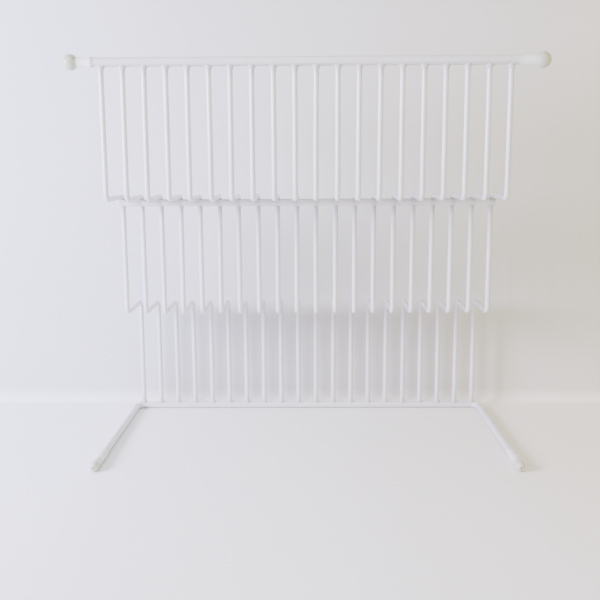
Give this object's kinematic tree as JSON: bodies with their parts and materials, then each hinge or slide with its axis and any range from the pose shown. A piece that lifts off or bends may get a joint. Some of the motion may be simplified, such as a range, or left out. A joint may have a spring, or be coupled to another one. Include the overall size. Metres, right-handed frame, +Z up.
{
  "type": "dish drying rack",
  "caption": "Free-standing dish drying rack of white vinyl-coated wire: stepped wires welded to straight rails, forward legs, ball-ended caps on the top rail and round foot caps.",
  "frame": {"origin": "on the table, under the middle of the rack's outline seen from above", "axes": "+X along the rails, to the viewer's right when facing the legs; +Y from the legs' ends towards the base rail; +Z up"},
  "size_m": [0.4298, 0.2009, 0.3634],
  "materials": {
    "coated_rod": "smooth semi-gloss white vinyl dip over steel rod",
    "ball_cap": "moulded off-white vinyl, slightly yellowed",
    "foot_cap": "moulded off-white vinyl, slightly yellowed, scuffed underneath"
  },
  "bodies": {
    "root": {"top_rail": "coated_rod", "middle_rail": "coated_rod", "base_frame": "coated_rod", "wire_01": "coated_rod", "wire_02": "coated_rod", "wire_03": "coated_rod", "wire_04": "coated_rod", "wire_05": "coated_rod", "wire_06": "coated_rod", "wire_07": "coated_rod", "wire_08": "coated_rod", "wire_09": "coated_rod", "wire_10": "coated_rod", "wire_11": "coated_rod", "wire_12": "coated_rod", "wire_13": "coated_rod", "wire_14": "coated_rod", "wire_15": "coated_rod", "wire_16": "coated_rod", "wire_17": "coated_rod", "wire_18": "coated_rod", "wire_19": "coated_rod", "wire_20": "coated_rod", "top_cap_left": "ball_cap", "top_cap_right": "ball_cap", "foot_cap_left": "foot_cap", "foot_cap_right": "foot_cap"}
  },
  "joints": []
}
